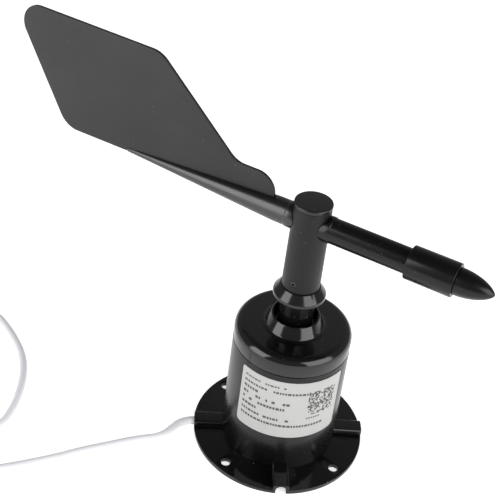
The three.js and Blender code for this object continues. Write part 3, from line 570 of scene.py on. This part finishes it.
def add_tie():
    """A flat tie round the coil's section."""
    foot, top = 0.15, 8.95
    wide, narrow = 10.5, 8.2
    outline = outline_of([(COIL_MEAN - wide, foot, 1.2), (COIL_MEAN + wide, foot, 1.2),
                          (COIL_MEAN + wide, 5.2, 3.0), (COIL_MEAN + narrow, top, 2.2),
                          (COIL_MEAN - narrow, top, 2.2), (COIL_MEAN - wide, 5.2, 3.0)], 8)
    inner = [(COIL_MEAN + (x - COIL_MEAN) * 0.955, 0.55 + (y - foot) * 0.91) for x, y in outline]
    work = bmesh.new()
    sides = []
    for offset in (-1.3, 1.3):
        sides.append([[work.verts.new((x * MM, offset * MM, y * MM)) for x, y in ring]
                      for ring in (outline, inner)])
    count = len(outline)
    for i in range(count):
        j = (i + 1) % count
        (outer_a, inner_a), (outer_b, inner_b) = sides
        work.faces.new((outer_a[i], outer_a[j], outer_b[j], outer_b[i]))
        work.faces.new((inner_a[i], inner_b[i], inner_b[j], inner_a[j]))
        work.faces.new((outer_a[i], inner_a[i], inner_a[j], outer_a[j]))
        work.faces.new((outer_b[i], outer_b[j], inner_b[j], inner_b[i]))
    mesh = bevelled(mesh_of(work, "tie_band"), 0.12)
    mesh.transform(Matrix.Rotation(math.radians(120), 4, "Z"))
    mesh.transform(Matrix.Translation((COIL_CENTRE.x * MM, COIL_CENTRE.y * MM, 0)))
    tie = link("coil_tie_band", mesh, RUBBER)
    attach(tie, "body")
    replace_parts(tie, "coil_tie")
    return tie


on_cord = add_cores() + [add_tie()]


# ---------- flange ----------
def duct_outline(width, top, edge, bottom):
    """A duct's section, rounded along its top edges."""
    return outline_of([(-width / 2, bottom, 0), (width / 2, bottom, 0), (width / 2, top, edge),
                       (-width / 2, top, edge)], 6)


def radial(mesh, start):
    """Lays a prism along +X: its outline's x runs across and its y runs up."""
    mesh.transform(Matrix(((0, 0, 1, start * MM), (1, 0, 0, 0), (0, 1, 0, 0), (0, 0, 0, 1))))
    return mesh


def round_cutter(radius, bottom, top, facets=48):
    return lathe("cutter", [(0, bottom), (radius, bottom), (radius, top), (0, top)], facets)


def countersink(head, shank, depth, length):
    """A cutter for a countersunk hole, its wide end down."""
    profile = [(0, -1), (head, -1), (head, 0.3), (shank, depth), (shank, length), (0, length)]
    return lathe("cutter", profile, 48)


def tunnel_outline():
    """A cable tunnel's section: straight sides under a round arch."""
    points = [(-TUNNEL_RADIUS, -1), (TUNNEL_RADIUS, -1)]
    for i in range(25):
        angle = math.pi * i / 24
        points.append((TUNNEL_RADIUS * math.cos(angle), TUNNEL_SPRING + TUNNEL_RADIUS * math.sin(angle)))
    return points


DIAGONALS = (45, 135, 225, 315)
SQUARE = (0, 90, 180, 270)
COVER_SCREWS = (45, 225)


def add_flange():
    profile = [(0, 0), (FLANGE_RADIUS, 0, 0.3), (FLANGE_RADIUS, FLANGE_THICKNESS, 0.35),
               (DOME_RADIUS, FLANGE_THICKNESS), (DOME_RADIUS, DOME_TOP, 1), (0, DOME_TOP)]
    disc = lathe("flange", profile, 256, 3)
    long_duct = radial(prism("duct", duct_outline(DUCT_WIDTH, DUCT_TOP, 0.95, 0.5), 26.0), 14)
    rim = round_cutter(FLANGE_RADIUS - 0.07, -1, 6, 256)
    ducts = [boolean(turned_copy(long_duct, turn), [rim.copy()], "INTERSECT") for turn in SQUARE]
    solid = boolean(disc, ducts, "UNION")
    tools = [radial(prism("tunnel", tunnel_outline(), 32), 10) for _ in SQUARE]
    tools = [turned_copy(tool, turn) for tool, turn in zip(tools, SQUARE)]
    tools += [moved_copy(round_cutter(BOLT_HOLE, -1, 4), BOLT_CIRCLE, turn) for turn in DIAGONALS]
    tools += [moved_copy(countersink(2.95, 1.65, 1.75, 3), BOSS_CIRCLE, turn) for turn in DIAGONALS]
    tools.append(round_cutter(RECESS_RADIUS, -1, RECESS_TOP, 96))
    mesh = bevelled(boolean(solid, tools, "DIFFERENCE"), 0.16, 2, 50)
    flange = link("mounting_flange", mesh, FLANGE_GLOSS, 32)
    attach(flange, "body")
    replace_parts(flange, "base_flange")
    post = lathe("post", [(1.3, 1.7), (2.6, 1.7), (2.6, RECESS_TOP), (1.3, RECESS_TOP)], 32)
    posts = merged("posts", [moved_copy(post, COVER_SCREW_CIRCLE, turn) for turn in COVER_SCREWS])
    bosses = link("cover_posts", posts, FLANGE_GLOSS)
    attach(bosses, "body")


def add_cover():
    edge = 14.1
    thickness = 1.5
    disc = lathe("cover", [(0, 0), (edge, 0, 0.2), (edge, thickness, 0.2), (0, thickness)], 128)
    section = [(-TUNNEL_RADIUS, -1), (TUNNEL_RADIUS, -1), (TUNNEL_RADIUS, 3), (-TUNNEL_RADIUS, 3)]
    notch = radial(prism("notch", section, 12), 8)
    tools = [turned_copy(notch, turn) for turn in SQUARE]
    tools += [moved_copy(countersink(2.4, 1.35, 1.4, 3), COVER_SCREW_CIRCLE, turn) for turn in COVER_SCREWS]
    cover = link("underside_cover", bevelled(boolean(disc, tools, "DIFFERENCE"), 0.12, 2, 50), SATIN)
    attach(cover, "body")
    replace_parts(cover, "bottom_cover")


def cross_screw(name, node, head, shank, depth, length, radius, turn):
    """A countersunk screw with a cross recess, its head down."""
    profile = [(0, 0.1), (head, 0.1, 0.1), (head, 0.35, 0.05), (shank, depth), (shank, length), (0, length)]
    body = lathe("screw", profile, 40)
    reach = head * 0.62
    slots = []
    for angle in (0, 90):
        slot = prism("slot", [(-reach, -0.3), (reach, -0.3), (reach, 0.3), (-reach, 0.3)], 1.1)
        slot.transform(Matrix.Translation((0, 0, -0.4 * MM)))
        slots.append(turned_copy(slot, angle + 20))
    mesh = bevelled(boolean(body, slots, "DIFFERENCE"), 0.05, 1, 50)
    screw = link(name, moved_copy(mesh, radius, turn), STEEL)
    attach(screw, "body")
    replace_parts(screw, node)


# ---------- body ----------
def shell_radius(z):
    """The drafted shell's radius at a height."""
    return SHELL_FOOT + (SHELL_HEAD - SHELL_FOOT) * (z - SHELL_LOW) / (SEAM - SHELL_LOW)


def add_shell():
    head = SEAM - 0.16
    profile = [(24.5, SHELL_LOW), (SHELL_FOOT, SHELL_LOW, 0.15), (shell_radius(20), 20),
               (shell_radius(40), 40), (SHELL_HEAD, head, 0.22), (23.95, head), (24.2, 30)]
    mesh = lathe("shell", profile, 256, 4, True)
    notch = radial(prism("notch", duct_outline(7.6, 5.3, 1.1, 0), 10), 20)
    mesh = boolean(mesh, [turned_copy(notch, turn) for turn in SQUARE], "DIFFERENCE")
    shell = link("round_shell", mesh, SHELL_SATIN, 30)
    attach(shell, "body")
    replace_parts(shell, "body_shell")


def add_cap():
    side = SHELL_HEAD - 0.07
    foot = SEAM + 0.05
    profile = [(SPIGOT_RADIUS, foot), (side, foot, 0.22)]
    for i in range(13):
        angle = math.pi / 2 * i / 12
        profile.append((side - CAP_SHOULDER + CAP_SHOULDER * math.cos(angle),
                        CAP_TOP - CAP_SHOULDER + CAP_SHOULDER * math.sin(angle)))
    profile += [
        (14.6, CAP_TOP, 0.5), (13.25, CAP_TOP + 0.4, 0.8), (12.75, CAP_TOP + 1.3, 0.6),
        (10.95, COLLAR_TOP - 0.6, 0.3), (10.6, COLLAR_TOP, 0.45), (9.95, COLLAR_TOP, 0.4),
        (9.4, 68.7, 0.4), (COLLAR_BORE, 68.1), (COLLAR_BORE, 64.15), (CAP_BORE, 64.15),
        (CAP_BORE, SPIGOT_BOTTOM), (SPIGOT_RADIUS, SPIGOT_BOTTOM),
    ]
    cap = link("cap_with_collar", lathe("cap", profile, 256, 4, True), CAP_GLOSS, 30)
    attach(cap, "body")
    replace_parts(cap, "top_cap")


add_flange()
add_cover()
for number, direction in enumerate(COVER_SCREWS, 1):
    cross_screw(f"cover_fixing_{number}", f"cover_screw_{number}", 2.2, 1.2, 1.3, 8,
                COVER_SCREW_CIRCLE, direction)
for number, direction in enumerate(DIAGONALS, 1):
    cross_screw(f"shell_fixing_{number}", f"base_screw_{number}", 2.8, 1.5, 1.65, 11,
                BOSS_CIRCLE, direction)
add_shell()
add_cap()


# ---------- label ----------
LABEL_LOW = 22.1
LABEL_HIGH = 54.7
LABEL_SPAN = 107.6  # degrees round the shell
LABEL_BEND = 26.35
ROW_LEFT = -22.6
FIRST_ROW = 50.7
ROW_PITCH = 3.2
BLOCK_LEFT = 7.8
BLOCK_FOOT = 35.4
CELLS = 19
CELL = 0.72


def wrapped(name, outline, lift, thickness, columns=64):
    """A flat outline (arc length, z) laid on the drafted shell at -Y, as a thin sheet."""
    flat = prism(name, outline, 1)
    work = bmesh.new()
    work.from_mesh(flat)
    start = min(x for x, _ in outline)
    width = max(x for x, _ in outline) - start
    for i in range(1, columns):
        cut = (start + width * i / columns) * MM
        bmesh.ops.bisect_plane(work, geom=work.verts[:] + work.edges[:] + work.faces[:],
                               plane_co=(cut, 0, 0), plane_no=(1, 0, 0))
    for vert in work.verts:
        z = vert.co.y / MM
        angle = -math.pi / 2 + (vert.co.x / MM) / LABEL_BEND
        radius = shell_radius(z) + lift + (thickness if vert.co.z > 0.5 * MM else 0)
        vert.co = Vector((radius * math.cos(angle), radius * math.sin(angle), z)) * MM
    return mesh_of(work, name)


def box_mark(x, z, width, height):
    """A printed rectangle with its lower left corner at (x, z)."""
    return wrapped("mark", [(x, z), (x + width, z), (x + width, z + height), (x, z + height)], 0.2, 0.03, 2)


# Each row of dashes: how far along it reaches, the height of its marks, and how often it breaks.
LABEL_ROWS = [(-3, 0.9, 0.1), (8, 1.15, 0.1), (-16.5, 1.4, 0), (0, 1.4, 0.28), (0, 1.4, 0.28),
              (-14.5, 1.4, 0.2), (0.5, 1.25, 0.1), (15.5, 1.25, 0.08)]


def label_marks():
    """Generic rows of dashes; they spell nothing."""
    chance = random.Random(11)
    marks = []
    for row, (reach, height, breaks) in enumerate(LABEL_ROWS):
        z = FIRST_ROW - ROW_PITCH * row
        x = ROW_LEFT
        while x < reach:
            width = chance.choice((0.8, 1.0, 1.2, 1.5))
            marks.append(box_mark(x, z, width, height))
            x += width + (chance.uniform(1.6, 4.0) if chance.random() < breaks else 0.38)
    x = 8.0
    while x < 14:
        marks.append(box_mark(x, 33.0, 0.8, 0.8))
        x += 1.15
    return marks


def dot_block():
    """An arbitrary square of dots, which encodes nothing."""
    chance = random.Random(5)
    dots = []
    for i in range(CELLS):
        for j in range(CELLS):
            if chance.random() < 0.55:
                dots.append(box_mark(BLOCK_LEFT + i * CELL, BLOCK_FOOT + j * CELL, CELL * 0.96, CELL * 0.96))
    return dots


def add_label():
    half = math.radians(LABEL_SPAN / 2) * LABEL_BEND
    outline = outline_of([(-half, LABEL_LOW, 2.2), (half, LABEL_LOW, 2.2), (half, LABEL_HIGH, 1.1),
                          (-half, LABEL_HIGH, 1.1)], 8)
    sheet = link("wrap_label", wrapped("label", outline, 0.04, 0.18), LABEL_STOCK, 60)
    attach(sheet, "body")
    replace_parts(sheet, "label")
    print_layer = link("label_print", merged("print", label_marks() + dot_block()), INK, 60)
    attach(print_layer, "body")


add_label()


# ---------- vane ----------
def add_neck():
    profile = [
        (SHAFT_BORE, NECK_BOTTOM), (NECK_RADIUS, NECK_BOTTOM, 0.4), (NECK_RADIUS, 80.7, 0.8),
        (8.6, 81.9, 0.7), (11.1, 82.7, 0.5), (SKIRT_RADIUS - 0.03, 83.4, 0.5),
        (SKIRT_RADIUS - 0.1, 84.95, 0.25), (8.72, 88.55, 0.2), (8.1, 88.75, 0.2), (SHAFT_BORE, 88.8),
    ]
    neck = link("neck_with_drip_skirt", lathe("neck", profile, 192, 5, True), GLOSS, 30)
    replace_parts(on_vane(neck), "neck_and_rain_skirt")


def add_hub():
    profile = [(0, HUB_BOTTOM), (8.34, HUB_BOTTOM, 0.2), (7.95, HUB_TOP, 0.25), (0, HUB_TOP)]
    body = lathe("hub", profile, 192, 4)
    bore = round_cutter(SHAFT_BORE, 88, 112.3, 64)
    screw_bore = turned_copy(raised(along_x(round_cutter(1.3, 0, 12)), SET_SCREW_HEIGHT), -90)
    boom_bore = raised(along_x(round_cutter(BOOM_BORE, -12, 12, 96)), BOOM_HEIGHT)
    plug_bore = round_cutter(5, HUB_TOP - 1.7, HUB_TOP + 1, 96)
    body = boolean(body, [bore, screw_bore, boom_bore, plug_bore], "DIFFERENCE")
    hub = link("turning_hub", bevelled(body, 0.1, 2, 50), HUB, 30)
    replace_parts(on_vane(hub), "vane_hub")
    plug_bottom = HUB_TOP - 1.5
    seat = HUB_TOP + 0.15
    profile = [(0, plug_bottom), (LID_PLUG, plug_bottom, 0.2), (LID_PLUG, seat), (8.05, seat, 0.15),
               (8.1, LID_TOP, 0.7), (0, LID_TOP)]
    lid = link("hub_lid", lathe("hub_lid", profile, 192, 5), SATIN, 30)
    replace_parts(on_vane(lid), "hub_cap")
    profile = [(0, 2.6), (1.25, 2.6), (1.25, 8.15, 0.1), (0.6, 8.15), (0.6, 7.5), (0, 7.5)]
    screw = lathe("set_screw", profile, 40)
    screw = turned_copy(raised(along_x(screw), SET_SCREW_HEIGHT), -90)
    fixing = link("hub_grub_screw", screw, DARK_STEEL)
    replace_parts(on_vane(fixing), "hub_set_screw")


def boom(name, node, profile, spigot, material, extra=()):
    """A rod along X with its end shaped to the hub and a spigot in the hub's bore."""
    rod = raised(along_x(lathe(name, profile, 128, 4)), BOOM_HEIGHT)
    rod = boolean(rod, [round_cutter(8.2, 80, 150, 192)] + list(extra), "DIFFERENCE")
    start, end = spigot
    pin = lathe("pin", [(0, start), (SPIGOT_IN_HUB, start), (SPIGOT_IN_HUB, end), (0, end)], 96)
    rod = boolean(rod, [raised(along_x(pin), BOOM_HEIGHT)], "UNION")
    piece = link(name, bevelled(rod, 0.1, 2, 50), material, 30)
    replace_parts(on_vane(piece), node)


def add_nose():
    profile = [(0, 0), (RING_RADIUS, 0), (RING_RADIUS, RING_END, 0.15), (BOOM_RADIUS, RING_END + 0.4, 0.1),
               (BOOM_RADIUS, 56, 0.3), (0, 56)]
    boom("nose_boom", "front_boom", profile, (0.3, 12), NOSE_SATIN)
    profile = [(SLEEVE_BORE, SLEEVE_START), (SLEEVE_RADIUS - 0.02, SLEEVE_START, 0.35),
               (SLEEVE_RADIUS, SLEEVE_END, 0.35), (SLEEVE_BORE, SLEEVE_END)]
    sleeve = lathe("sleeve", profile, 160, 5, True)
    sleeve = link("weight_sleeve", raised(along_x(sleeve), BOOM_HEIGHT), NOSE_SATIN, 30)
    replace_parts(on_vane(sleeve), "nose_sleeve")
    start = SLEEVE_END + 0.1
    profile = [(0, 60.5), (5.4, 60.5, 0.2), (BOOM_RADIUS, start), (NOSE_RADIUS, start + 0.02, 0.12)]
    for i in range(1, 24):
        share = math.sin(math.pi / 2 * i / 24)
        profile.append((NOSE_RADIUS * (1 - share * share) ** 0.65, start + (NOSE_TIP - start) * share))
    profile.append((0, NOSE_TIP))
    tip = link("pointed_nose", raised(along_x(lathe("nose", profile, 128, 4)), BOOM_HEIGHT), NOSE_SATIN, 40)
    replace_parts(on_vane(tip), "nose_tip")


def tail_radius(x):
    """The tapered tail boom's radius at a place along it."""
    return BOOM_RADIUS + (TAIL_END_RADIUS - BOOM_RADIUS) * (x - TAPER_START) / (TAIL_END - TAPER_START)


BLADE_CORNERS = [
    (BLADE_FRONT, tail_radius(BLADE_FRONT) - 0.95, 0), (BLADE_FRONT, BLADE_LOBE, 9),
    (-36.9, BLADE_LOBE, 10), (-76.4, 51.2, 11.5), (-153.9, 52.85, 9), (-124.9, BLADE_FOOT, 10.5),
    (TAIL_END - 0.3, BLADE_FOOT, 0.3), (TAIL_END - 0.3, 0.3, 0),
]


def upright(name, outline, thickness):
    """A plate standing on edge in the boom's plane, its outline measured from the boom's axis."""
    plate = prism(name, outline, thickness)
    plate.transform(Matrix.Rotation(math.pi / 2, 4, "X"))
    plate.transform(Matrix.Translation((0, thickness / 2 * MM, BOOM_HEIGHT * MM)))
    return plate


def add_tail():
    slot_front = BLADE_FRONT + 0.3
    slot_foot = tail_radius(BLADE_FRONT) - 1.25
    slot = upright("slot", [(slot_front, slot_foot), (slot_front, 20), (-94, 20), (-94, 0.0)], 1.9)
    profile = [(0, TAIL_END), (1.2, TAIL_END, 0.4), (BOOM_RADIUS, TAPER_START),
               (BOOM_RADIUS, -RING_END - 0.4, 0.05), (RING_RADIUS - 0.02, -RING_END, 0.2),
               (RING_RADIUS, 0), (0, 0)]
    boom("tail_cone", "tail_boom", profile, (-13.5, -0.3), TAIL_SATIN, [slot])
    sheet = upright("blade", outline_of(BLADE_CORNERS, 14), BLADE_THICKNESS)
    sheet = link("tail_blade", bevelled(sheet, 0.22, 3, 50), BLADE, 30)
    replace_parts(on_vane(sheet), "vane_blade")


add_neck()
add_hub()
add_nose()
add_tail()


# ---------- carried CAD pieces ----------
CARRIED = {
    "cap_seal": RUBBER, "cable_gland": RUBBER, "gland_nut": SATIN, "sensor_board": BOARD,
    "angle_sensor_chip": CHIP, "voltage_regulator": CHIP, "filter_capacitor": ALUMINIUM,
    "board_socket": NYLON, "inner_lead": CABLE, "bearing_housing": ALUMINIUM,
    "lower_bearing_outer_ring": POLISHED, "upper_bearing_outer_ring": POLISHED, "housing_clip": STEEL,
    "lower_ball_cage": POLISHED, "upper_ball_cage": POLISHED, "shaft": STEEL, "magnet_holder": SATIN,
    "magnet": NICKEL, "shaft_clip": STEEL, "lower_bearing_inner_ring": POLISHED,
    "upper_bearing_inner_ring": POLISHED, "bearing_spacer": ALUMINIUM, "neck_spacer": ALUMINIUM,
    "nose_weight": BRASS,
}
for number in range(1, 5):
    CARRIED[f"standoff_{number}"] = BRASS
    CARRIED[f"board_screw_{number}"] = STEEL
for node, material in CARRIED.items():
    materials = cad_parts[node].data.materials
    materials.clear()
    materials.append(material)


# ---------- stage ----------
FLOOR_GLOW = 0.65  # keeps the floor white under the soft light


def add_floor():
    """A wide, pale floor just under the part."""
    work = bmesh.new()
    bmesh.ops.create_grid(work, x_segments=8, y_segments=8, size=3)
    mesh = mesh_of(work, "floor")
    material, nodes, links, shader = new_material("floor_white")
    tone = ramp(nodes, links, noise(nodes, links, 3, 2), [(0.3, grey(0.93)), (0.7, grey(0.95))])
    links.new(tone, shader.inputs["Base Color"])
    shader.inputs["Roughness"].default_value = 0.9
    shader.inputs["Emission Color"].default_value = (1, 1, 1, 1)
    shader.inputs["Emission Strength"].default_value = FLOOR_GLOW
    floor = link("floor", mesh, material)
    floor.location.z = -0.2 * MM


def add_softbox(name, azimuth, distance, height, width, tall, power):
    """A rectangular light in a circle round the object, facing its axis."""
    data = bpy.data.lights.new(name, "AREA")
    data.shape = "RECTANGLE"
    data.size = width
    data.size_y = tall
    data.energy = power
    light = bpy.data.objects.new(name, data)
    scene.collection.objects.link(light)
    turn = math.radians(azimuth)
    light.location = (distance * math.cos(turn), distance * math.sin(turn), height)
    aim = Vector((0, 0, 0.08)) - light.location
    light.rotation_euler = aim.to_track_quat("-Z", "Y").to_euler()


def add_world():
    """A dim, even studio, darker overhead."""
    world = bpy.data.worlds.new("studio")
    world.use_nodes = True
    nodes, links = world.node_tree.nodes, world.node_tree.links
    where = nodes.new("ShaderNodeTexCoord")
    split = nodes.new("ShaderNodeSeparateXYZ")
    links.new(where.outputs["Generated"], split.inputs["Vector"])
    sky = ramp(nodes, links, split.outputs["Z"], [(0.0, grey(0.3)), (0.62, grey(0.3)), (0.95, grey(0.1))])
    background = nodes["Background"]
    links.new(sky, background.inputs["Color"])
    background.inputs["Strength"].default_value = 1.0
    scene.world = world


add_floor()
add_world()
add_softbox("left_softbox", 204, 0.9, 0.47, 0.56, 0.86, 6.4)
add_softbox("right_softbox", 318, 0.9, 0.47, 0.85, 0.86, 8.6)
scene.view_settings.view_transform = "Standard"
